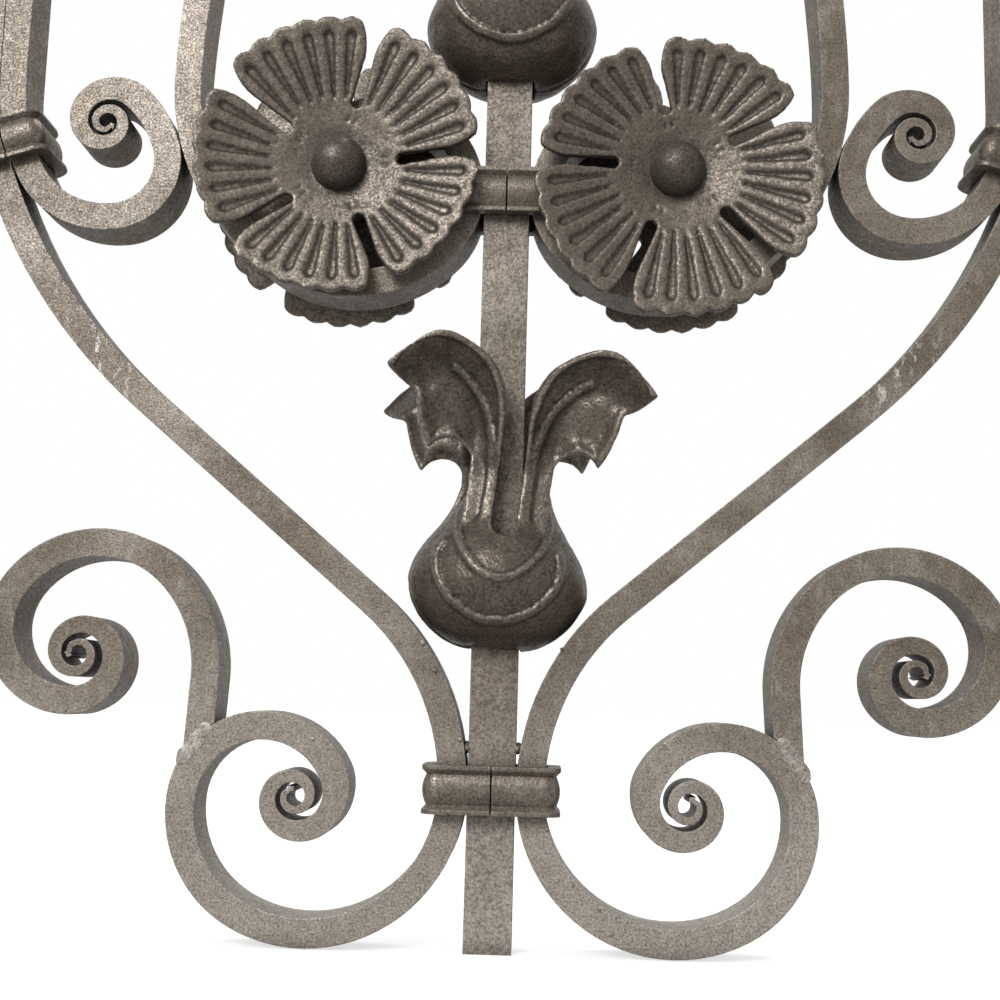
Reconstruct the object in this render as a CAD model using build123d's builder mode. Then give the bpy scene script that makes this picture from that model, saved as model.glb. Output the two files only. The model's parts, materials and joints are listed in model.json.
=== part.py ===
from build123d import *
from math import atan, cos, degrees, exp, log, pi, radians, sin, sqrt
import os

os.makedirs("parts", exist_ok=True)

# Panel: front towards -Y, width along X, height along Z, origin at the foot of the centre bar
panel_height = 370.0

# Bars
centre_bar_width = 14.0
scroll_thick = 8.4
scroll_depth = 16.0
weld_gap = 0.2

# Volutes: the drawn-out end of a scroll, a spiral that thins as it closes
volute_radius = 13.5
volute_quarter_ratio = 0.787
volute_turns = 1.85
volute_points_per_turn = 12

# Heights of the collars' middles
lower_collar_height = 46.5
middle_collar_height = 228.3

# Moulded strip of the collars
collar_height = 14.0
collar_play = 0.2
collar_lip = 3.9
collar_valley = 2.5
collar_crown = 3.7
collar_seam = 0.5
collar_corner = 0.6
collar_edge_land = 1.2
collar_groove = 2.6

# Flowers
flower_offset = 52.3
flower_height = 235.6
flower_radius = 44.0
flower_hub_radius = 9.0
flower_sheet = 3.0
flower_cup = 7.2
petal_count = 5
petal_slot_foot = 18.0
petal_slot_width = 3.8
petal_slot_waist = 3.0
petal_slot_mouth = 16.0
petal_waist_depth = 11.0
scallop_depth = 1.3
flute_count = 6
flute_depth = 1.1
flute_width = 3.4
flute_inner_radius = 19.0
flute_outer_radius = 40.2
petal_plain_angle = 11.0
mark_length = 2.8
mark_width = 1.5
mark_depth = 0.5
mark_radius = 14.4
mark_spread = 9.0
boss_radius = 8.6
left_flower_turn = 3.0
right_flower_turn = 30.0
back_flower_turn = 16.0

# Leaf castings: heights of the bulbs' feet on the bar, then sizes from the foot up
lower_casting_height = 87.8
upper_casting_height = 265.0
lower_casting_lean = 6.0
bulb_radius = 27.2
belly_height = 18.2
bulb_foot = 9.9
bulb_shoulder = (22.0, 7.6)
neck_radius = 11.3
neck_top = 56.0
shell_wall = 3.5
leaf_dish_radius = 65.0
leaf_wall = 3.0
leaf_depth = 10.0
leaf_centre = (10.0, 56.0)
leaf_foot = 33.0
front_slot_width = 7.4
front_slot_foot = 32.4
rib_width = 1.9
rib_rise = 1.2
casting_gap = 0.3

half_bar = centre_bar_width / 2
touch_offset = half_bar + weld_gap + scroll_thick / 2
volute_growth = log(volute_quarter_ratio) / (pi / 2)
volute_lead = atan(-volute_growth)


# A scroll's route is a list of moves from a start point and heading.
# A move is (radius, degrees), turning left where the radius is positive, or (0, length) for a straight run.
def step(point, heading, move):
    radius, amount = move
    direction = Vector(cos(heading), sin(heading))
    if radius == 0:
        return point + direction * amount, heading
    side = 1 if radius > 0 else -1
    centre = point + Vector(-direction.Y, direction.X) * radius
    turned = heading + side * radians(amount)
    return centre + Vector(sin(turned), -cos(turned)) * radius, turned


def beside(point, heading, offset):
    return point + Vector(-sin(heading), cos(heading)) * offset


def draw_moves(point, heading, moves, thick):
    """Draw both edges of a bar along its moves, and give back where it ends."""
    for move in moves:
        middle, middle_heading = step(point, heading, (move[0], move[1] / 2))
        end, end_heading = step(point, heading, move)
        for offset in (thick / 2, -thick / 2):
            first = beside(point, heading, offset)
            last = beside(end, end_heading, offset)
            if move[0] == 0:
                Line(first, last)
            else:
                ThreePointArc(first, beside(middle, middle_heading, offset), last)
        point, heading = end, end_heading
    return point, heading


def draw_end(point, heading, thick):
    Line(beside(point, heading, thick / 2), beside(point, heading, -thick / 2))


def draw_volute(point, heading, side, start_radius, turns, thick):
    """Draw the outer and inner edge of a spiral whose bar thins in step with its radius."""
    start_angle = heading - side * (pi / 2 + volute_lead)
    pole = point - Vector(cos(start_angle), sin(start_angle)) * start_radius
    last_turn = 2 * pi * turns
    turn_steps = round(turns * volute_points_per_turn)
    ends = []
    for share in (1, -1):
        edge_ratio = 1 + share * thick / start_radius / 2
        places = [beside(point, heading, -side * share * thick / 2)]
        for i in range(1, turn_steps + 1):
            turn = last_turn * i / turn_steps
            angle = start_angle + side * turn
            radius = start_radius * edge_ratio * exp(volute_growth * turn)
            places.append(pole + Vector(cos(angle), sin(angle)) * radius)
        end_angle = start_angle + side * (last_turn + pi / 2 + volute_lead)
        Spline(
            *places,
            tangents=[(cos(heading), sin(heading)), (cos(end_angle), sin(end_angle))],
        )
        ends.append(places[-1])
    Line(*ends)


def flat_bar(start, heading, back_moves, moves, thick=scroll_thick, depth=scroll_depth, volutes=()):
    """Bend a flat bar: moves run on from the start, and back_moves run from it the other way."""
    with BuildPart() as bar:
        with BuildSketch(Plane.XZ):
            with BuildLine():
                for turned, route, volute in ((pi, back_moves, 0), (0, moves, 1)):
                    end, end_heading = draw_moves(Vector(*start), heading + turned, route, thick)
                    if len(volutes) > volute and volutes[volute]:
                        side, radius, turns = volutes[volute]
                        draw_volute(end, end_heading, side, radius, turns, thick)
                    else:
                        draw_end(end, end_heading, thick)
            make_face()
        extrude(amount=depth / 2, both=True)
    return bar.part


def keep(piece, label):
    piece.label = label
    export_step(piece, "parts/" + label + ".step")


def keep_pair(right_piece, name):
    """Keep a piece of the right-hand side and its mirror image on the left."""
    keep(right_piece, "right_" + name)
    keep(mirror(right_piece, about=Plane.YZ), "left_" + name)


def run_to_top(point):
    return (0, panel_height - point.Y)


# Centre bar
with BuildPart() as centre_bar:
    with BuildSketch(Plane.XY):
        Rectangle(centre_bar_width, centre_bar_width)
    extrude(amount=panel_height)
keep(centre_bar.part, "centre_bar")

# Side scrolls, laid out from where they touch the centre bar inside the lower collar
side_touch = Vector(touch_offset, lower_collar_height)
side_rise = [(-70.7, 50.0), (0, 94.2), (171.8, 32.4)]
side_straighten = 76.0
side_loop = [(42.0, 118.1), (33.7, 67.3), (23.4, 146.7)]

collar_point, collar_heading = side_touch, pi / 2
for move in side_rise:
    collar_point, collar_heading = step(collar_point, collar_heading, move)
to_upright = degrees(pi / 2 - collar_heading)
side_bend = (side_straighten, to_upright)
upright_point = step(collar_point, collar_heading, side_bend)[0]
side_scroll_up = side_rise + [side_bend, run_to_top(upright_point)]
side_volute = (1, volute_radius, volute_turns)


def side_scroll_bar(thick, depth):
    return flat_bar(side_touch, -pi / 2, side_scroll_up, side_loop, thick, depth, (None, side_volute))


side_scroll = side_scroll_bar(scroll_thick, scroll_depth)
keep_pair(side_scroll, "side_scroll")

# Lower scrolls, butted on the outside of the side scrolls' loops
lower_start = Vector(86.9, 54.0)
lower_heading = radians(93.0)
lower_moves = [(0, 22.8), (-40.4, 48.2), (-30.8, 95.9), (-22.0, 126.8)]
lower_blank = flat_bar(
    lower_start, lower_heading, [(0, 1.0)], lower_moves, volutes=(None, (-1, 14.2, volute_turns))
)
weld_clearance = side_scroll_bar(scroll_thick + 2 * weld_gap, scroll_depth + 1)
with BuildPart() as lower_scroll:
    add(lower_blank)
    add(weld_clearance, mode=Mode.SUBTRACT)
lower_pieces = lower_scroll.part.solids().sort_by(SortBy.VOLUME)
keep_pair(Part() + lower_pieces[-1], "lower_scroll")

# Upper scrolls, side by side with the side scrolls in the side collars
bar_spacing = scroll_thick + weld_gap
upper_start = beside(collar_point, collar_heading, bar_spacing)
upper_bend = (side_straighten - bar_spacing, to_upright)
upper_upright = step(upper_start, collar_heading, upper_bend)[0]
upper_moves = [(-68.7, 9.0), (-27.4, 70.0), (-17.9, 100.6), (-35.8, 29.5)]
upper_scroll = flat_bar(
    upper_start,
    collar_heading + pi,
    [upper_bend, run_to_top(upper_upright)],
    upper_moves,
    volutes=(None, (-1, 12.5, volute_turns)),
)
keep_pair(upper_scroll, "upper_scroll")

# Inner scrolls, laid out from where they touch the centre bar inside the middle collar
inner_touch = Vector(touch_offset, middle_collar_height)
inner_loop = [(24.9, 42.6), (40.3, 80.0), (69.7, 58.1), (341.0, 4.3), (0, panel_height)]
inner_curl = [(-26.9, 145.2)]
inner_blank = flat_bar(
    inner_touch, -pi / 2, inner_curl, inner_loop, volutes=((-1, 12.6, 1.5), None)
)
with BuildPart() as inner_scroll:
    add(inner_blank)
    split(bisect_by=Plane.XY.offset(panel_height), keep=Keep.BOTTOM)
keep_pair(inner_scroll.part, "inner_scroll")


# Collars: one moulded strip, bent round the bars and closed by a seam in front
def bent_collar(bars_width):
    half_width = bars_width / 2 + collar_play
    half_depth = scroll_depth / 2 + collar_play
    middle = collar_height / 2
    with BuildPart() as strip:
        with BuildLine() as route:
            FilletPolyline(
                (collar_seam / 2, -half_depth),
                (half_width, -half_depth),
                (half_width, half_depth),
                (-half_width, half_depth),
                (-half_width, -half_depth),
                (-collar_seam / 2, -half_depth),
                radius=collar_corner,
            )
        with BuildSketch(Plane(origin=route.line @ 0, x_dir=(0, -1, 0), z_dir=(1, 0, 0))):
            with BuildLine():
                Polyline(
                    (collar_valley, middle - collar_groove),
                    (collar_lip, middle - collar_edge_land),
                    (collar_lip, middle),
                    (0, middle),
                    (0, -middle),
                    (collar_lip, -middle),
                    (collar_lip, collar_edge_land - middle),
                    (collar_valley, collar_groove - middle),
                )
                ThreePointArc(
                    (collar_valley, collar_groove - middle),
                    (collar_crown, 0),
                    (collar_valley, middle - collar_groove),
                )
            make_face()
        sweep(path=route.line)
    return strip.part


def swell(radius):
    """How far a bar's outer edge, bent to this radius, moves out between a collar's middle and its edge."""
    edge_radius = radius - scroll_thick / 2
    return edge_radius - sqrt(edge_radius**2 - (collar_height / 2) ** 2)


bundle_width = centre_bar_width + 2 * (scroll_thick + weld_gap)
lower_swell = swell(side_loop[0][0])
middle_swell = swell(inner_loop[0][0])
side_swell = swell(-upper_moves[0][0])
lower_collar = bent_collar(bundle_width + 2 * lower_swell)
keep(Pos(0, 0, lower_collar_height) * lower_collar, "lower_collar")
middle_collar = bent_collar(bundle_width + 2 * middle_swell)
keep(Pos(0, 0, middle_collar_height) * middle_collar, "middle_collar")
side_collar_point = beside(collar_point, collar_heading, bar_spacing / 2)
side_collar = bent_collar(2 * scroll_thick + weld_gap + 2 * side_swell)
side_collar_place = Pos(side_collar_point.X, 0, side_collar_point.Y) * Rot(0, to_upright, 0)
keep_pair(side_collar_place * side_collar, "side_collar")


# Flowers: a cupped sheet with five fan petals. Local Z is the flower's axis, towards the viewer
def dish_layer(low, high):
    rim = flower_radius + 1
    rise = flower_cup * (rim - flower_hub_radius) / (flower_radius - flower_hub_radius)
    with BuildPart() as layer:
        with BuildSketch(Plane.XZ):
            with BuildLine():
                Polyline(
                    (0, low),
                    (flower_hub_radius, low),
                    (rim, low + rise),
                    (rim, high + rise),
                    (flower_hub_radius, high),
                    (0, high),
                    close=True,
                )
            make_face()
        revolve(axis=Axis.Z)
    return layer.part


def polar(radius, degrees_round):
    angle = radians(degrees_round)
    return Vector(cos(angle), sin(angle)) * radius


def flower_blank():
    petal_angle = 360 / petal_count
    flute_angle = (petal_angle - petal_plain_angle) / flute_count
    valley_radius = flower_radius - scallop_depth
    prism_height = flower_sheet + 2 * flower_cup
    half_slot = petal_slot_width / 2
    half_mouth = petal_slot_mouth / 2
    round_end = petal_slot_foot + half_slot
    outside = flower_radius + 2
    waist = (flower_radius - petal_waist_depth, petal_slot_waist / 2)
    with BuildSketch() as slot:
        with BuildLine():
            for side in (1, -1):
                Line((round_end, side * half_slot), (waist[0], side * waist[1]))
                TangentArc((waist[0], side * waist[1]), (outside, side * half_mouth), tangent=(1, 0))
            Line((outside, half_mouth), (outside, -half_mouth))
            ThreePointArc((round_end, -half_slot), (petal_slot_foot, 0), (round_end, half_slot))
        make_face()
    with BuildPart() as outline:
        with BuildSketch(Plane.XY.offset(-1)):
            with BuildLine():
                turn = petal_plain_angle / 2
                for width in (flute_count * [flute_angle] + [petal_plain_angle]) * petal_count:
                    ThreePointArc(
                        polar(valley_radius, turn),
                        polar(flower_radius, turn + width / 2),
                        polar(valley_radius, turn + width),
                    )
                    turn += width
            make_face()
            with PolarLocations(0, petal_count):
                add(slot.sketch, mode=Mode.SUBTRACT)
        extrude(amount=prism_height)
    half_flute = flute_width / 2
    flute_root = flute_width / 8
    flute_end = flute_width / 5
    with BuildPart() as flutes:
        with BuildSketch(Plane.XY.offset(-1)):
            for petal in range(petal_count):
                for flute in range(flute_count):
                    turn = (petal + 0.5) * petal_angle + (flute - (flute_count - 1) / 2) * flute_angle
                    with Locations(Rot(0, 0, turn)):
                        Polygon(
                            (flute_inner_radius, flute_root),
                            (flute_inner_radius, -flute_root),
                            (flute_outer_radius - half_flute, -half_flute),
                            (flute_outer_radius, -flute_end),
                            (flute_outer_radius, flute_end),
                            (flute_outer_radius - half_flute, half_flute),
                            align=None,
                        )
        extrude(amount=prism_height)
    with BuildPart() as marks:
        with BuildSketch(Plane.XY.offset(-1)):
            for petal in range(petal_count):
                for side in (1, -1):
                    with Locations(Rot(0, 0, petal * petal_angle + side * mark_spread / 2)):
                        with Locations((mark_radius, 0)):
                            SlotOverall(mark_length, mark_width)
        extrude(amount=prism_height)
    with BuildPart() as flower:
        add(dish_layer(0, flower_sheet))
        add(outline.part, mode=Mode.INTERSECT)
        for depth, cuts in ((flute_depth, flutes), (mark_depth, marks)):
            add(dish_layer(flower_sheet - depth, flower_sheet + 1) & cuts.part, mode=Mode.SUBTRACT)
    return flower.part


with BuildPart() as boss:
    with BuildSketch(Plane.XZ):
        with BuildLine():
            CenterArc((0, 0), boss_radius, 0, 90)
            Line((0, boss_radius), (0, 0))
            Line((0, 0), (boss_radius, 0))
        make_face()
    revolve(axis=Axis.Z)

flower = flower_blank()
flower_turns = {
    "left_front": (-1, -1, left_flower_turn),
    "right_front": (1, -1, right_flower_turn),
    "left_back": (-1, 1, back_flower_turn),
    "right_back": (1, 1, back_flower_turn),
}
for name, (across, facing, turn) in flower_turns.items():
    seat = Plane(
        origin=(across * flower_offset, facing * scroll_depth / 2, flower_height),
        x_dir=(-facing, 0, 0),
        z_dir=(0, facing, 0),
    ).location
    keep(seat * Rot(0, 0, turn) * flower, name + "_flower")
    keep(seat * Pos(0, 0, flower_sheet) * boss.part, name + "_boss")


# Leaf castings: half shells round the bar. Local Z is zero at the foot of the bulb, the front faces -Y
def bulb(inset):
    """The bulb and neck as a turned shape, smaller all round by the inset."""
    with BuildPart() as turned:
        with BuildSketch(Plane.XZ):
            with BuildLine():
                Line((0, inset), (bulb_foot - inset, inset))
                ThreePointArc(
                    (bulb_foot - inset, inset),
                    (bulb_shoulder[0] - inset * sqrt(0.5), bulb_shoulder[1] + inset * sqrt(0.5)),
                    (bulb_radius - inset, belly_height),
                )
                Spline(
                    (bulb_radius - inset, belly_height),
                    (neck_radius - inset, neck_top),
                    tangents=[(0, 1), (0, 1)],
                    tangent_scalars=[1.0, 1.3],
                )
                Line((neck_radius - inset, neck_top), (0, neck_top))
                Line((0, neck_top), (0, inset))
            make_face()
        revolve(axis=Axis.Z)
    return turned.part


def leaf_layer(back, front):
    """A dished layer of the leaves between two depths in front of its back."""
    centre = Pos(leaf_centre[0], -leaf_depth - leaf_dish_radius, leaf_centre[1])
    return centre * (Solid.make_sphere(leaf_dish_radius - back) - Solid.make_sphere(leaf_dish_radius - front))


def leaf_outline():
    inner_edge = front_slot_width / 2 - 0.5
    tip = (39.8, 77.4)
    notch = (31.1, 72.6)
    lower_tip = (25.4, 55.9)
    armpit = (12.4, 55.0)
    Line((armpit[0], leaf_foot), (inner_edge, leaf_foot))
    Line((inner_edge, leaf_foot), (inner_edge, 66.0))
    Spline((inner_edge, 66.0), (10.0, 84.0), (22.0, 89.2), tip, tangents=[(0, 1), (1, -1)])
    ThreePointArc(tip, (35.0, 74.2), notch)
    ThreePointArc(notch, (29.3, 64.5), lower_tip)
    ThreePointArc(lower_tip, (19.2, 60.1), armpit)
    Line(armpit, (armpit[0], leaf_foot))


def leaf_ribs():
    """Middle lines of the raised ribs and rims on one leaf."""
    Spline((4.3, leaf_foot), (4.3, 66.0), (10.9, 82.9), (22.0, 88.0), (38.4, 77.2))
    Spline((6.7, leaf_foot), (7.9, 64.0), (13.0, 74.5), (21.0, 80.5))
    Spline((9.0, leaf_foot), (11.0, 59.0), (18.5, 70.5), (30.4, 72.2))
    Spline((30.4, 72.2), (28.6, 64.8), (25.0, 57.4))
    Spline((11.3, leaf_foot), (13.4, 54.0), (19.0, 61.0), (25.0, 57.4))


def trace_prism(draw):
    with BuildPart() as prism:
        with BuildSketch(Plane.XZ):
            with BuildLine():
                draw()
            trace(line_width=rib_width)
        extrude(amount=2 * bulb_radius)
    return prism.part


def bulb_ribs():
    """Middle lines of the two U-shaped rims on the bulb."""
    Spline((-17.2, 30.0), (-17.8, 19.0), (0, 7.0), (17.8, 19.0), (17.2, 30.0))
    Spline((-8.2, 46.0), (-11.5, 28.0), (0, 19.4), (11.5, 28.0), (8.2, 46.0))


with BuildPart() as leaf_prism:
    with BuildSketch(Plane.XZ):
        with BuildLine():
            leaf_outline()
        make_face()
    extrude(amount=2 * bulb_radius)
leaf = leaf_prism.part & leaf_layer(0, leaf_wall)
leaf += trace_prism(leaf_ribs) & leaf_layer(leaf_wall / 2, leaf_wall + rib_rise) & leaf_prism.part

front_half = Pos(0, -bulb_radius - casting_gap / 2, neck_top) * Box(120, 2 * bulb_radius, 160)
with BuildPart() as leaf_casting:
    add(bulb(0))
    add(trace_prism(bulb_ribs) & bulb(-rib_rise))
    add(bulb(shell_wall), mode=Mode.SUBTRACT)
    add(leaf)
    add(mirror(leaf, about=Plane.YZ))
    with BuildSketch(Plane.XZ):
        with Locations((0, front_slot_foot + neck_top / 2)):
            SlotOverall(neck_top, front_slot_width, rotation=90)
    extrude(amount=2 * bulb_radius, mode=Mode.SUBTRACT)
    add(front_half, mode=Mode.INTERSECT)

bar_way = Box(centre_bar_width + 2 * casting_gap, centre_bar_width, 3 * neck_top)


def half_casting(height, facing, lean):
    """One half casting, leaned about its bulb and cut to sit on the bar's face."""
    leaned = Pos(0, 0, belly_height) * Rot(0, lean, 0) * Pos(0, 0, -belly_height) * leaf_casting.part
    with BuildPart() as fitted:
        add(Rot(0, 0, 90 + 90 * facing) * leaned)
        add(bar_way, mode=Mode.SUBTRACT)
    pieces = fitted.part.solids().sort_by(SortBy.VOLUME)
    return Pos(0, 0, height) * (Part() + pieces[-1])


for level, height, front_lean in (
    ("lower", lower_casting_height, lower_casting_lean),
    ("upper", upper_casting_height, 0),
):
    keep(half_casting(height, -1, front_lean), level + "_front_casting")
    keep(half_casting(height, 1, 0), level + "_back_casting")
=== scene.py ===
# %% [markdown]
# # Wrought iron panel
# A length of scrollwork from a gate or a window grille: flat bar bent into scrolls,
# gathered to a square centre bar by moulded collars, with cast flowers and leaf castings
# on both faces. The solids come from the CAD frame and are never moved. This script gives
# them their paint, softens the castings and flowers, adds the welds and the spatter that
# the smith left, and lights the panel.

import json
import math
import random

import bmesh
import bpy
from mathutils import Matrix, Vector, noise


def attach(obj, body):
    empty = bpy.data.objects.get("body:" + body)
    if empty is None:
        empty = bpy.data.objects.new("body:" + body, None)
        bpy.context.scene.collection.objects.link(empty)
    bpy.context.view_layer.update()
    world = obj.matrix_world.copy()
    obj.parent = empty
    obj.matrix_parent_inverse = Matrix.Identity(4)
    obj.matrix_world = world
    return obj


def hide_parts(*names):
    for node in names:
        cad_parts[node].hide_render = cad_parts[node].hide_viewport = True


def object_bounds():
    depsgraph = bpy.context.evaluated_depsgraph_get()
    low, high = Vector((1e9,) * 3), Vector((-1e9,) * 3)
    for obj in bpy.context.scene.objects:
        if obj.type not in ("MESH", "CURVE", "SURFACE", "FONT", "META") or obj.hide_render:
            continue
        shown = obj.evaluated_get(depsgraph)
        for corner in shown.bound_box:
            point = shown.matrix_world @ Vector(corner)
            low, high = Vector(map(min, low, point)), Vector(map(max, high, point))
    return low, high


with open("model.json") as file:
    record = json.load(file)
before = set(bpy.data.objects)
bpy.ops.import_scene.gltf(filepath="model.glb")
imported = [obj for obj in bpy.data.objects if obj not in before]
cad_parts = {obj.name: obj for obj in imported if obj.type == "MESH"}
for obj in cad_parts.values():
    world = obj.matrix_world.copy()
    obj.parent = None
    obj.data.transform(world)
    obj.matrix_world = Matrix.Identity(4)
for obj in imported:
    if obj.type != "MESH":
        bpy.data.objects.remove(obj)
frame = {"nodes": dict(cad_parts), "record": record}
nodes = frame["nodes"]
cad_low, cad_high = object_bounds()
mm = 0.001
print("pieces in the frame:", len(nodes), "height", round(cad_high.z - cad_low.z, 4))

# %% [markdown]
# ## The camera
# The photograph was taken from in front of the leaf casting, low down and looking up a
# little, so the bars draw together towards the top. The place and the turn below were worked
# out from the bars' edges. The matrix has the camera's right, up and backward directions.

# %% Place the camera
camera_place = Vector((10.76, -424.0, 72.93)) * mm
camera_right = Vector((0.99942, 0.02121, 0.02669))
camera_up = Vector((-0.02343, -0.14139, 0.98968))
camera_back = camera_right.cross(camera_up)
camera_data = bpy.data.cameras.new("camera")
camera_data.sensor_width = 36.0
camera_data.lens = 50.4
camera_data.clip_start = 0.01
camera = bpy.data.objects.new("camera", camera_data)
bpy.context.scene.collection.objects.link(camera)
turn = Matrix((camera_right, camera_up, camera_back)).transposed().to_4x4()
camera.matrix_world = Matrix.Translation(camera_place) @ turn
bpy.context.scene.camera = camera
print("camera distance", round((camera_place - (cad_low + cad_high) / 2).length, 3))

# %% [markdown]
# ## Helpers for shader nodes
# Every material here is a small network. One helper makes a node, sets its choices and
# fills its inputs, with plain values or with the outputs of other nodes. The others are
# short forms for the nodes used most.


# %% Make a node
def fill(tree, socket, value):
    """Put a plain value in a socket, or link another node's output to it."""
    if isinstance(value, bpy.types.NodeSocket):
        tree.links.new(value, socket)
    else:
        socket.default_value = value


def add_node(tree, kind, settings=(), **inputs):
    """A new node. An input is given by its name, or as i0, i1 and so on by its number."""
    made = tree.nodes.new(kind)
    for name, value in dict(settings).items():
        setattr(made, name, value)
    for name, value in inputs.items():
        numbered = name[0] == "i" and name[1:].isdigit()
        fill(tree, made.inputs[int(name[1:]) if numbered else name], value)
    return made


def math_node(tree, operation, first, second=0.0, clamp=False):
    choices = {"operation": operation, "use_clamp": clamp}
    return add_node(tree, "ShaderNodeMath", choices, i0=first, i1=second).outputs[0]


def remap(tree, value, low, high, to_low=0.0, to_high=1.0):
    """The value's place between low and high, spread from to_low to to_high and clamped."""
    limits = {"i1": low, "i2": high, "i3": to_low, "i4": to_high}
    return add_node(tree, "ShaderNodeMapRange", {"clamp": True}, i0=value, **limits).outputs[0]


def mix_colours(tree, share, first, second, blend="MIX"):
    made = tree.nodes.new("ShaderNodeMix")
    made.data_type = "RGBA"
    made.blend_type = blend
    for name, value in (("Factor_Float", share), ("A_Color", first), ("B_Color", second)):
        fill(tree, next(s for s in made.inputs if s.identifier == name), value)
    return next(s for s in made.outputs if s.identifier == "Result_Color")


def new_group(name, inputs, outputs):
    """An empty node group with named sockets: inputs are (name, value), all of them floats."""
    tree = bpy.data.node_groups.new(name, "ShaderNodeTree")
    for socket_name, value in inputs:
        socket = tree.interface.new_socket(socket_name, in_out="INPUT", socket_type="NodeSocketFloat")
        socket.default_value = value
    for socket_name, kind in outputs:
        tree.interface.new_socket(socket_name, in_out="OUTPUT", socket_type=kind)
    given = tree.nodes.new("NodeGroupInput").outputs
    wanted = tree.nodes.new("NodeGroupOutput").inputs
    return tree, given, wanted


def socket_names(tree, direction):
    return [item.name for item in tree.interface.items_tree if item.in_out == direction]


# %% [markdown]
# ## Grain of the paint
# The panel is sprayed with a metallic patina paint over hot-rolled and cast iron. Close up
# it is a sparkling sandy grain. From further off its tone drifts between brown and silver,
# with small dark pits, and with pale scuffs where the bars were handled. Noise at several
# scales gives them, each as a mask. Two scales are set from outside: Grain for the sand and
# Cloud for the drift. The other noises are a fixed number of times finer or wider than those.

# %% Build the grain group
grain_roughness = 0.62
pebble_scale = 0.31
wide_scale = 0.3
pit_scale = 6.5
scuff_scale = 4.5
scuff_stretch = 0.5
pebble_in_sparkle = 0.3
pebble_in_height = 1.6
sparkle_range = (0.49, 0.81)
sparkle_strength = (0.55, 1.48)
mask_ranges = {"Tone": (0.34, 0.66), "Silver": (0.47, 0.66), "Pit": (0.68, 0.74), "Scuff": (0.53, 0.66)}


def build_grain():
    masks = ("Sparkle", "Tone", "Silver", "Pit", "Scuff", "Height")
    tree, given, wanted = new_group(
        "paint_grain",
        [("Grain", 1800.0), ("Cloud", 60.0)],
        [(mask, "NodeSocketFloat") for mask in masks],
    )
    place = add_node(tree, "ShaderNodeTexCoord").outputs["Object"]
    stretch = (1.0, 1.0, scuff_stretch)
    drawn = add_node(tree, "ShaderNodeMapping", Vector=place, Scale=stretch).outputs[0]

    def grain_noise(base, times, detail, vector=place):
        scale = math_node(tree, "MULTIPLY", given[base], times)
        choices = {"Vector": vector, "Scale": scale, "Detail": detail, "Roughness": grain_roughness}
        return add_node(tree, "ShaderNodeTexNoise", **choices).outputs[0]

    fine = grain_noise("Grain", 1.0, 2.0)
    pebble = grain_noise("Grain", pebble_scale, 3.0)
    drifts = {
        "Tone": grain_noise("Cloud", 1.0, 5.0),
        "Silver": grain_noise("Cloud", wide_scale, 4.0),
        "Pit": grain_noise("Cloud", pit_scale, 2.0),
        "Scuff": grain_noise("Cloud", scuff_scale, 4.0, drawn),
    }
    for mask, drift in drifts.items():
        tree.links.new(remap(tree, drift, *mask_ranges[mask]), wanted[mask])
    both = math_node(tree, "ADD", fine, math_node(tree, "MULTIPLY", pebble, pebble_in_sparkle))
    tree.links.new(remap(tree, both, *sparkle_range, *sparkle_strength), wanted["Sparkle"])
    height = math_node(tree, "MULTIPLY", pebble, pebble_in_height)
    tree.links.new(math_node(tree, "ADD", height, fine), wanted["Height"])
    return tree


paint_grain = build_grain()
print("group", paint_grain.name, "gives", socket_names(paint_grain, "OUTPUT"))

# %% [markdown]
# ## Edges and hollows
# Handling rubs the dark coat thin on edges and ridges, where the metal shows paler. Hollows and
# grooves get painted shade, darker where shade falls. An ambient occlusion node looking inwards
# finds the edges, and one looking outwards finds the hollows for the painted shade. A bevel node
# rounds the sharp edges of the solids. On the dense meshes of the castings, the bend of the
# surface itself tells ridge from groove.

# %% Build the wear and shade group
bevel_samples = 4
edge_samples = 4
hollow_samples = 5
bare_range = (0.38, 0.62)
edge_range = (0.72, 0.3)
hollow_range = (0.92, 0.35)
ridge_range = (0.505, 0.54)
groove_range = (0.495, 0.465)


def build_wear_and_shade():
    masks = ("Edge", "Hollow Shade", "Ridge", "Groove Shade")
    tree, given, wanted = new_group(
        "wear_and_painted_shade",
        [
            ("Edge Reach", 1.2 * mm),
            ("Hollow Reach", 6.0 * mm),
            ("Rounding", 0.6 * mm),
            ("Breakup", 260.0),
        ],
        [(mask, "NodeSocketFloat") for mask in masks] + [("Rounded", "NodeSocketVector")],
    )

    def occlusion(choices, reach):
        return add_node(tree, "ShaderNodeAmbientOcclusion", choices, Distance=given[reach]).outputs["AO"]

    rounding = {"samples": bevel_samples}
    rounded = add_node(tree, "ShaderNodeBevel", rounding, Radius=given["Rounding"]).outputs[0]
    inward = occlusion({"inside": True, "samples": edge_samples}, "Edge Reach")
    outward = occlusion({"samples": hollow_samples}, "Hollow Reach")
    place = add_node(tree, "ShaderNodeTexCoord").outputs["Object"]
    patches = add_node(
        tree, "ShaderNodeTexNoise", Vector=place, Scale=given["Breakup"], Detail=4.0, Roughness=0.7
    ).outputs[0]
    bare = remap(tree, patches, *bare_range)
    edge = remap(tree, inward, *edge_range)
    bend = add_node(tree, "ShaderNodeNewGeometry").outputs["Pointiness"]
    tree.links.new(math_node(tree, "MULTIPLY", edge, bare), wanted["Edge"])
    # Painted shade: the hollow and groove masks darken the colour in hollows and grooves, where shade
    # falls.
    tree.links.new(remap(tree, outward, *hollow_range), wanted["Hollow Shade"])
    tree.links.new(remap(tree, bend, *ridge_range), wanted["Ridge"])
    tree.links.new(remap(tree, bend, *groove_range), wanted["Groove Shade"])
    tree.links.new(rounded, wanted["Rounded"])
    return tree


wear_and_painted_shade = build_wear_and_shade()
print("group", wear_and_painted_shade.name, "takes", socket_names(wear_and_painted_shade, "INPUT"))
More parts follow.
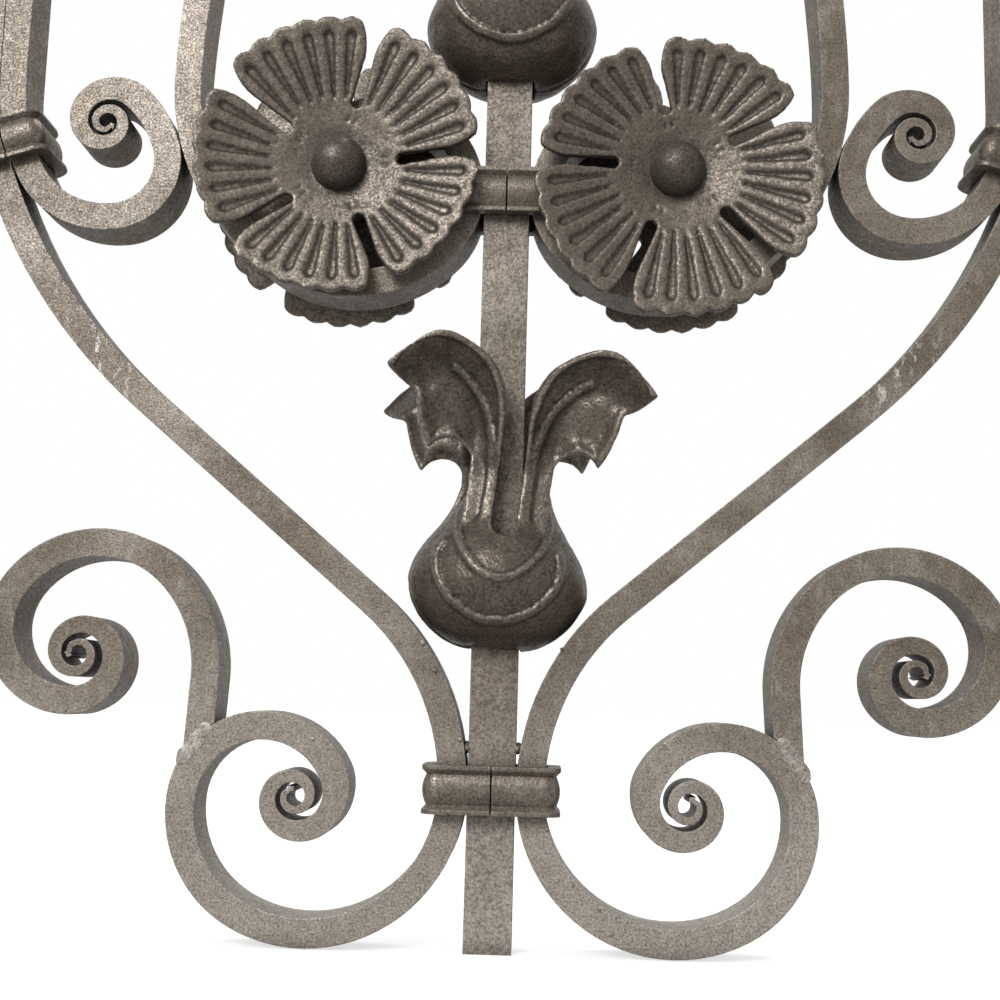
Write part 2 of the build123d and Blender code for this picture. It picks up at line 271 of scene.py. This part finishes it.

# %% [markdown]
# ## The painted iron
# One recipe serves the whole panel, with its own values for each kind of piece: the bars are
# smooth and a little paler, the castings and flowers are rougher, browner and darker in their
# hollows, which is painted shade. The coat is partly metallic, so it takes soft highlights from the
# lamps. Painted light makes the bars paler near the foot, standing in for light from the floor, and
# painted highlights make them paler at three places.

# %% Write the paint recipe
# Three spots of painted highlight on the bars, as x, z and radius in millimetres.
highlight_spots = [(118.0, 178.0, 20.0), (-126.0, 172.0, 17.0), (-100.0, 205.0, 9.0)]
highlight_core = 0.3
highlight_share = 0.9
# Below this height the bars are painted paler, standing in for light from the floor.
foot_height = 95.0
thin_coat = 0.72
pit_depth = 0.6
shine_range = (0.6, 1.5)
shine_rise = 0.1
shine_fall = 0.14
edge_shine = 0.12
relief_depth = 0.16


def painted_light_places(tree):
    """Masks of painted light: nearness to three spots of painted highlight, and to the foot, which is
    painted paler for light from the floor.
    """
    place = add_node(tree, "ShaderNodeTexCoord").outputs["Object"]

    def vector_node(operation, first, second):
        return add_node(tree, "ShaderNodeVectorMath", {"operation": operation}, i0=first, i1=second).outputs

    flat = vector_node("MULTIPLY", place, (1.0, 0.0, 1.0))[0]
    total = 0.0
    for x, z, radius in highlight_spots:
        away = vector_node("DISTANCE", flat, (x * mm, 0.0, z * mm))["Value"]
        near = remap(tree, away, radius * mm, highlight_core * radius * mm)
        total = math_node(tree, "ADD", total, near, clamp=True)
    level = add_node(tree, "ShaderNodeSeparateXYZ", Vector=place).outputs["Z"]
    return total, remap(tree, level, foot_height * mm, 0.0)


def iron_paint(name, recipe):
    material = bpy.data.materials.new(name)
    material.use_nodes = True
    tree = material.node_tree
    shader = tree.nodes["Principled BSDF"]
    speck = add_node(tree, "ShaderNodeGroup", {"node_tree": paint_grain}, Grain=recipe["grain"]).outputs
    wear_and_shade = add_node(tree, "ShaderNodeGroup", {"node_tree": wear_and_painted_shade}).outputs
    highlight_mask, low = painted_light_places(tree)
    body, silver, pale_wear_and_highlight, shade_and_pit = [recipe[shade] + (1,) for shade in ("body", "silver", "pale_wear_and_highlight", "shade_and_pit")]
    thin = tuple(thin_coat * value for value in recipe["body"]) + (1,)

    def times(first, second, clamp=False):
        return math_node(tree, "MULTIPLY", first, second, clamp)

    colour = mix_colours(tree, speck["Tone"], thin, body)
    drift = times(speck["Silver"], recipe["drift"])
    # Painted light: towards the foot the colour goes paler, standing in for light thrown up from the floor.
    silver_and_floor_light = math_node(tree, "ADD", drift, times(low, recipe["foot"]), clamp=True)
    colour = mix_colours(tree, silver_and_floor_light, colour, silver)
    # Painted highlight: at three spots the scuff pattern is raised towards the pale colour.
    scuff_and_highlight = math_node(tree, "ADD", times(highlight_mask, highlight_share), recipe["scuff"])
    colour = mix_colours(tree, times(speck["Scuff"], scuff_and_highlight, clamp=True), colour, pale_wear_and_highlight)
    # Painted shade: hollows and grooves are darkened in the colour, where shade falls.
    groove_shade = times(wear_and_shade["Groove Shade"], recipe["groove_shade"])
    painted_shade = math_node(tree, "MAXIMUM", times(wear_and_shade["Hollow Shade"], recipe["hollow_shade"]), groove_shade)
    colour = mix_colours(tree, painted_shade, colour, shade_and_pit)
    ridge = times(wear_and_shade["Ridge"], recipe["ridge"])
    edge = math_node(tree, "MAXIMUM", times(wear_and_shade["Edge"], recipe["wear"]), ridge)
    colour = mix_colours(tree, edge, colour, pale_wear_and_highlight)
    colour = mix_colours(tree, times(speck["Pit"], pit_depth), colour, shade_and_pit)
    colour = mix_colours(tree, 1.0, colour, speck["Sparkle"], "MULTIPLY")
    tree.links.new(colour, shader.inputs["Base Color"])
    dullest = recipe["roughness"] + shine_rise
    brightest = recipe["roughness"] - shine_fall
    shine = remap(tree, speck["Sparkle"], *shine_range, dullest, brightest)
    roughness = math_node(tree, "SUBTRACT", shine, times(edge, edge_shine))
    tree.links.new(roughness, shader.inputs["Roughness"])
    shader.inputs["Metallic"].default_value = recipe["metallic"]
    relief = add_node(
        tree,
        "ShaderNodeBump",
        Strength=recipe["bump"],
        Distance=relief_depth * mm,
        Height=speck["Height"],
        Normal=wear_and_shade["Rounded"],
    )
    tree.links.new(relief.outputs[0], shader.inputs["Normal"])
    return material


# %% [markdown]
# The four shades of each recipe are the coat itself, its silver drift, which also paints the light
# near the foot, the rubbed metal, which also paints the highlight spots, and the painted shade of
# hollows and grooves, which also colours the small pits. The shares after them say how much of each mask is
# used.

# %% Mix the five paints
recipes = {
    "bars": dict(
        body=(0.168, 0.135, 0.102), silver=(0.345, 0.306, 0.262),
        pale_wear_and_highlight=(0.66, 0.63, 0.59), shade_and_pit=(0.052, 0.041, 0.032),
        wear=0.5, ridge=0.0, groove_shade=0.0, hollow_shade=0.7, drift=0.55, foot=1.0, scuff=0.1,
        grain=1500.0, bump=0.45, roughness=0.46, metallic=0.4,
    ),
    "collars": dict(
        body=(0.15, 0.121, 0.093), silver=(0.25, 0.219, 0.181),
        pale_wear_and_highlight=(0.46, 0.42, 0.37), shade_and_pit=(0.045, 0.035, 0.028),
        wear=0.7, ridge=0.0, groove_shade=0.0, hollow_shade=0.8, drift=0.5, foot=0.35, scuff=0.15,
        grain=1500.0, bump=0.45, roughness=0.42, metallic=0.45,
    ),
    "flowers": dict(
        body=(0.125, 0.101, 0.078), silver=(0.155, 0.128, 0.1),
        pale_wear_and_highlight=(0.3, 0.262, 0.22), shade_and_pit=(0.018, 0.014, 0.011),
        wear=0.2, ridge=0.22, groove_shade=0.75, hollow_shade=0.95, drift=0.6, foot=0.0, scuff=0.0,
        grain=1300.0, bump=0.55, roughness=0.44, metallic=0.45,
    ),
    "bosses": dict(
        body=(0.088, 0.071, 0.057), silver=(0.11, 0.09, 0.073),
        pale_wear_and_highlight=(0.3, 0.262, 0.22), shade_and_pit=(0.025, 0.02, 0.016),
        wear=0.25, ridge=0.0, groove_shade=0.0, hollow_shade=0.9, drift=0.5, foot=0.0, scuff=0.0,
        grain=1300.0, bump=0.5, roughness=0.44, metallic=0.45,
    ),
    "castings": dict(
        body=(0.106, 0.085, 0.066), silver=(0.142, 0.117, 0.092),
        pale_wear_and_highlight=(0.33, 0.288, 0.24), shade_and_pit=(0.011, 0.008, 0.007),
        wear=0.2, ridge=0.38, groove_shade=0.85, hollow_shade=1.0, drift=0.6, foot=0.0, scuff=0.0,
        grain=1100.0, bump=0.8, roughness=0.36, metallic=0.5,
    ),
}
paints = {slot: iron_paint(slot + "_paint", recipe) for slot, recipe in recipes.items()}
print("paints", sorted(paints))

# %% Paint the solids
slot_of = {entry["node"]: entry["material_slot"] for entry in frame["record"]["subparts"]}
for name, piece in nodes.items():
    piece.data.materials.clear()
    piece.data.materials.append(paints[slot_of[name]])
print("painted", len(nodes), "solids")

# %% [markdown]
# ## Soft castings and flowers
# The leaf castings and the flowers are iron poured in sand. Their ribs and edges run softly
# into the ground, which the crisp solids don't show. Each solid is copied, filled with small
# voxels and smoothed, and the copy is then worked like clay: rims are pushed forward, petals
# bent a little, and the skin made uneven. The skin's noise is seeded, because the noise
# module would otherwise start from the clock.

# %% Soften a solid
merge_distance = 0.002
smooth_factor = 0.5
wave_length = 5.0
grit_length = 1.1
skin_seed = 7
noise.seed_set(skin_seed)


def shade_smooth(mesh):
    for face in mesh.polygons:
        face.use_smooth = True


def softened(node_name, voxel, rounds):
    """A smooth copy of a solid as a new piece that stands for it."""
    form = bmesh.new()
    form.from_mesh(nodes[node_name].data)
    bmesh.ops.remove_doubles(form, verts=form.verts, dist=merge_distance * mm)
    mesh = bpy.data.meshes.new("soft_" + node_name)
    form.to_mesh(mesh)
    form.free()
    piece = bpy.data.objects.new("soft_" + node_name, mesh)
    bpy.context.scene.collection.objects.link(piece)
    remesh = piece.modifiers.new("voxels", "REMESH")
    remesh.mode = "VOXEL"
    remesh.voxel_size = voxel * mm
    smooth = piece.modifiers.new("smooth", "SMOOTH")
    smooth.factor = smooth_factor
    smooth.iterations = rounds
    evaluated = piece.evaluated_get(bpy.context.evaluated_depsgraph_get())
    baked = bpy.data.meshes.new_from_object(evaluated)
    piece.modifiers.clear()
    piece.data = baked
    baked.name = "soft_" + node_name
    bpy.data.meshes.remove(mesh)
    shade_smooth(baked)
    return piece


def sculpt(piece, move):
    """Move each vertex to where the given function says."""
    for vertex in piece.data.vertices:
        vertex.co = move(vertex.co)
    piece.data.update()


def stand_for(piece, node_name):
    slot_name = slot_of[node_name]
    piece.data.materials.clear()
    piece.data.materials.append(paints[slot_name])
    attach(piece, "root")
    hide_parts(node_name)
    print(piece.name, "faces", len(piece.data.polygons))


def uneven(point, coarse, fine):
    """A small push for the unevenness of sand-cast skin, with its two depths in millimetres."""
    wave = noise.noise_vector(point / (wave_length * mm)) * (coarse * mm)
    grit = noise.noise_vector(point / (grit_length * mm)) * (fine * mm)
    return wave + grit


# %% [markdown]
# ## Leaf castings
# The upper edge of each leaf is a thick rim that curls towards the viewer, with a hollow
# below it. The rim's line is repeated here from the casting, and what lies near it is pushed
# forward with a smooth fall-off. The lower front casting sits a little askew on its bar. The
# rims are kept within the depth of the solids, so the last part of the way is pressed together.

# %% Curl the leaf rims
casting_levels = {"lower": 87.8, "upper": 265.0}
casting_leans = {"lower_front_casting": math.radians(6.0)}
belly_height = 18.2
leaf_rim = [
    (4.3, 58.0), (4.3, 66.0), (6.6, 76.0), (10.9, 82.9), (22.0, 88.0), (31.0, 85.0), (38.4, 77.2)
]
lobe_rim = [(30.4, 72.2), (28.6, 64.8), (25.0, 57.4), (19.0, 61.0), (13.4, 54.0)]
rim_curl = 3.3
rim_reach = 3.4
lobe_curl = 1.8
lobe_reach = 2.2
rim_hollow = 1.3
hollow_offset = 8.0
hollow_reach = 3.0
leaf_start = 50.0
leaf_fade = 12.0
curl_room = 1.6
curl_free_depth = cad_high.y / mm - curl_room
casting_voxel = 0.6
casting_rounds = 4
casting_wave = 0.22
casting_grit = 0.05


def distance_to_line(x, z, line):
    best = math.inf
    for (ax, az), (bx, bz) in zip(line, line[1:]):
        run = (bx - ax, bz - az)
        share = ((x - ax) * run[0] + (z - az) * run[1]) / (run[0] ** 2 + run[1] ** 2)
        share = min(1.0, max(0.0, share))
        best = min(best, math.hypot(x - ax - share * run[0], z - az - share * run[1]))
    return best


def fall_off(distance, reach):
    return math.exp(-((distance / reach) ** 2))


def leaf_push(x, z):
    """How far the skin of a leaf comes forward, in millimetres."""
    fade = min(1.0, (z - leaf_start) / leaf_fade)
    rim_distance = distance_to_line(x, z, leaf_rim)
    rim = rim_curl * fall_off(rim_distance, rim_reach)
    lobe = lobe_curl * fall_off(distance_to_line(x, z, lobe_rim), lobe_reach)
    below = rim_hollow * fall_off(rim_distance - hollow_offset, hollow_reach)
    return fade * (rim + lobe - below)


def casting_move(node_name):
    level = casting_levels[node_name.split("_")[0]]
    lean = casting_leans.get(node_name, 0.0)
    facing = -1 if "front" in node_name else 1
    cosine, sine = math.cos(lean), math.sin(lean)

    def move(point):
        x = point.x / mm
        z = point.z / mm - level - belly_height
        local_x = abs(x * cosine - z * sine)
        local_z = x * sine + z * cosine + belly_height
        push = leaf_push(local_x, local_z) if local_z > leaf_start else 0.0
        moved = point + Vector((0, facing * push * mm, 0)) + uneven(point, casting_wave, casting_grit)
        past = abs(moved.y) / mm - curl_free_depth
        if past > 0:
            moved.y = facing * (curl_free_depth + curl_room * math.tanh(past / curl_room)) * mm
        return moved

    return move


for node_name in sorted(n for n in nodes if n.endswith("_casting")):
    casting = softened(node_name, casting_voxel, casting_rounds)
    sculpt(casting, casting_move(node_name))
    stand_for(casting, node_name)

# %% [markdown]
# ## Flowers
# Each petal of a real flower was bent by hand after casting, so no two lie quite alike. A
# small bend for each petal, growing towards its rim, is drawn from a seeded generator. Each
# petal also rolls a little across its width. The petals of the two front flowers hang lower
# or higher than those of the solids, as the photograph shows.

# %% Bend the petals
flower_middle = (52.3, 235.6)
bend_start = 14.0
petal_rim = 44.0
bend_most = 1.3
petal_roll = 0.9
petals = 5
petal_angle = 360 / petals
droop = {"left_front_flower": -1.5, "right_front_flower": 4.0}
flower_turns = {"left_front": 3.0, "right_front": 30.0, "left_back": 16.0, "right_back": 16.0}
flower_voxel = 0.55
flower_rounds = 3
flower_wave = 0.16
flower_grit = 0.04
petal_draw = random.Random(7)


def flower_move(node_name, turn):
    across = 1 if node_name.startswith("right") else -1
    facing = -1 if "front" in node_name else 1
    bends = [petal_draw.uniform(-bend_most, bend_most) for _ in range(petals)]

    def move(point):
        x = (point.x / mm - across * flower_middle[0]) * -facing
        z = point.z / mm - flower_middle[1]
        reach = max(0.0, (math.hypot(x, z) - bend_start) / (petal_rim - bend_start))
        round_angle = (math.degrees(math.atan2(z, x)) - turn) % 360
        bend = bends[int(round_angle // petal_angle)]
        side = math.cos(math.radians(round_angle % petal_angle - petal_angle / 2) * petals / 2)
        push = bend * reach**2 + petal_roll * side * reach
        painted_shade = droop.get(node_name, 0.0) * min(1.0, reach)
        moved = point + Vector((0, facing * push * mm, -painted_shade * mm))
        return moved + uneven(point, flower_wave, flower_grit)

    return move


for place, turn in flower_turns.items():
    flower = softened(place + "_flower", flower_voxel, flower_rounds)
    sculpt(flower, flower_move(place + "_flower", turn))
    stand_for(flower, place + "_flower")

# %% [markdown]
# ## Welds
# Where bars only touch, the smith ran a short bead of weld along the seam. A bead is a
# chain of overlapping ripples, so its mesh is a tube whose rings swell and shrink along the
# seam, with noise for the uneven metal. Drops thrown off by the arc stick to the bars.

# %% Make a bead
ripple_height = 0.12
bead_roughness = 0.22
bead_tip = 0.08


def bead_form(form, start, end, radius, rings=22, sides=18, ripples=5.0, seed=0.0):
    along = end - start
    axis = along.normalized()
    first = axis.orthogonal().normalized()
    second = axis.cross(first)
    circles = []
    for ring in range(rings + 1):
        share = ring / rings
        swell = math.sqrt(max(0.0, 1 - (2 * share - 1) ** 4))
        ripple = 1 + ripple_height * math.sin(share * ripples * 2 * math.pi)
        circle = []
        for side in range(sides):
            angle = 2 * math.pi * side / sides
            out = first * math.cos(angle) + second * math.sin(angle)
            place = start + along * share
            spot = (place + out * radius) / radius + Vector((seed, 0, 0))
            rough = 1 + bead_roughness * noise.noise(spot)
            circle.append(form.verts.new(place + out * radius * max(bead_tip, swell) * ripple * rough))
        circles.append(circle)
    for low_ring, high_ring in zip(circles, circles[1:]):
        for side in range(sides):
            after = (side + 1) % sides
            form.faces.new((low_ring[side], low_ring[after], high_ring[after], high_ring[side]))
    form.faces.new(tuple(reversed(circles[0])))
    form.faces.new(tuple(circles[-1]))


def small_piece(name, form, slot_name):
    bmesh.ops.recalc_face_normals(form, faces=form.faces)
    mesh = bpy.data.meshes.new(name)
    form.to_mesh(mesh)
    form.free()
    shade_smooth(mesh)
    mesh.materials.append(paints[slot_name])
    piece = bpy.data.objects.new(name, mesh)
    bpy.context.scene.collection.objects.link(piece)
    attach(piece, "root")


# %% Weld the scrolls
bar_half_depth = 8.0
weld_inset = 0.2
hands = (("left", -1), ("right", 1))
seams = {
    "crotch_weld": (84.3, 62.6, 1.7),
    "notch_weld": (91.6, 52.6, 1.5),
    "upper_weld": (102.4, 243.0, 2.2),
    "collar_weld": (7.4, 58.5, 1.5),
}
weld_reach = bar_half_depth - weld_inset
for side_name, across in hands:
    for seed, (name, (x, z, radius)) in enumerate(sorted(seams.items())):
        form = bmesh.new()
        start = Vector((across * x, -weld_reach, z)) * mm
        end = Vector((across * x, weld_reach, z)) * mm
        bead_form(form, start, end, radius * mm, seed=seed + across)
        small_piece(side_name + "_" + name, form, "bars")
print("welds", len(hands) * len(seams))

# %% [markdown]
# The seams between the side scrolls and the lower scrolls were welded on both faces and
# ground down. Each leaves a low skin, which is a bead lying along the seam with its outer
# half pressed flat.

# %% Grind the side seams flush
skin_start = (83.6, 63.8)
skin_end = (92.4, 51.4)
skin_radius = 2.2
skin_rise = 0.1
faces = (("front", -1), ("back", 1))
for side_name, across in hands:
    for face_name, facing in faces:
        form = bmesh.new()
        start = Vector((across * skin_start[0], 0, skin_start[1])) * mm
        end = Vector((across * skin_end[0], 0, skin_end[1])) * mm
        seed = across + 3 * facing
        bead_form(form, start, end, skin_radius * mm, rings=30, sides=24, ripples=3.0, seed=seed)
        for vertex in form.verts:
            rise = skin_rise if vertex.co.y * facing > 0 else 1.0
            vertex.co.y = vertex.co.y * rise + facing * bar_half_depth * mm
        small_piece(side_name + "_" + face_name + "_weld_skin", form, "bars")
print("skins", len(hands) * len(faces))

# %% Throw the spatter
drop_lumps = 0.25
spatter_places = [
    (-21.2, 89.0, 0.9),
    (-17.6, 81.0, 0.8),
    (-52.7, 60.0, 0.6),
    (19.9, 88.0, 0.6),
    (16.6, 36.0, 0.6),
    (-9.5, 61.0, 0.8),
]
for number, (x, z, radius) in enumerate(spatter_places, start=1):
    form = bmesh.new()
    bmesh.ops.create_icosphere(form, subdivisions=3, radius=radius * mm)
    for vertex in form.verts:
        lumpy = 1 + drop_lumps * noise.noise(vertex.co / (radius * mm) + Vector((number, 0, 0)))
        vertex.co = vertex.co * lumpy + Vector((x, -bar_half_depth, z)) * mm
    small_piece("spatter_" + str(number), form, "bars")
print("spatter", len(spatter_places))

# %% [markdown]
# ## Floor, backdrop and light
# The panel stands on a plain white floor in plain soft light. A white world lights all
# sides, and two wide lamps lift the front and the top. The floor itself is a pale grey, so
# it throws little light upwards. A lift that only the camera sees makes it read as white,
# and the shadow stays. The lift grows with the distance, where the lamps no longer reach.

# %% Lay the floor
floor_half = 6.0
floor_grey = 0.4
floor_roughness = 0.9
lift_reach = (0.3, 2.0)
lift_strength = (0.69, 0.84)
floor_mesh = bpy.data.meshes.new("floor")
floor_form = bmesh.new()
for x, y in ((-1, -1), (1, -1), (1, 1), (-1, 1)):
    floor_form.verts.new((x * floor_half, y * floor_half, 0))
floor_form.faces.new(floor_form.verts)
floor_form.to_mesh(floor_mesh)
floor_form.free()
floor = bpy.data.objects.new("floor", floor_mesh)
bpy.context.scene.collection.objects.link(floor)
floor_paint = bpy.data.materials.new("floor_white")
floor_paint.use_nodes = True
floor_tree = floor_paint.node_tree
floor_shader = floor_tree.nodes["Principled BSDF"]
floor_shader.inputs["Base Color"].default_value = (floor_grey, floor_grey, floor_grey, 1)
floor_shader.inputs["Roughness"].default_value = floor_roughness
floor_shader.inputs["Emission Color"].default_value = (1, 1, 1, 1)
floor_seen = add_node(floor_tree, "ShaderNodeLightPath").outputs["Is Camera Ray"]
floor_place = add_node(floor_tree, "ShaderNodeTexCoord").outputs["Object"]
floor_reach = add_node(
    floor_tree, "ShaderNodeVectorMath", {"operation": "LENGTH"}, i0=floor_place
).outputs["Value"]
far_lift = remap(floor_tree, floor_reach, *lift_reach, *lift_strength)
lift = math_node(floor_tree, "MULTIPLY", floor_seen, far_lift)
floor_tree.links.new(lift, floor_shader.inputs["Emission Strength"])
floor_mesh.materials.append(floor_paint)

# %% Light the stage
world_light = 0.6
world_shown = 1.0
world = bpy.data.worlds.new("studio")
bpy.context.scene.world = world
world.use_nodes = True
world_tree = world.node_tree
background = world_tree.nodes["Background"]
seen = add_node(world_tree, "ShaderNodeLightPath").outputs["Is Camera Ray"]
strength = remap(world_tree, seen, 0.0, 1.0, world_light, world_shown)
world_tree.links.new(strength, background.inputs["Strength"])
background.inputs["Color"].default_value = (1, 1, 1, 1)


def soft_lamp(name, place, target, size, watts):
    data = bpy.data.lights.new(name, "AREA")
    data.shape = "SQUARE"
    data.size = size
    data.energy = watts
    lamp = bpy.data.objects.new(name, data)
    bpy.context.scene.collection.objects.link(lamp)
    lamp.location = place
    lamp.rotation_euler = (Vector(target) - Vector(place)).to_track_quat("-Z", "Y").to_euler()


middle = (cad_low + cad_high) / 2
soft_lamp("front_lamp", (-0.7, -1.5, 1.2), middle, size=0.9, watts=30.0)
soft_lamp("top_lamp", (0.6, 0.3, 1.8), middle, size=0.8, watts=16.0)
bpy.context.scene.view_settings.view_transform = "Standard"
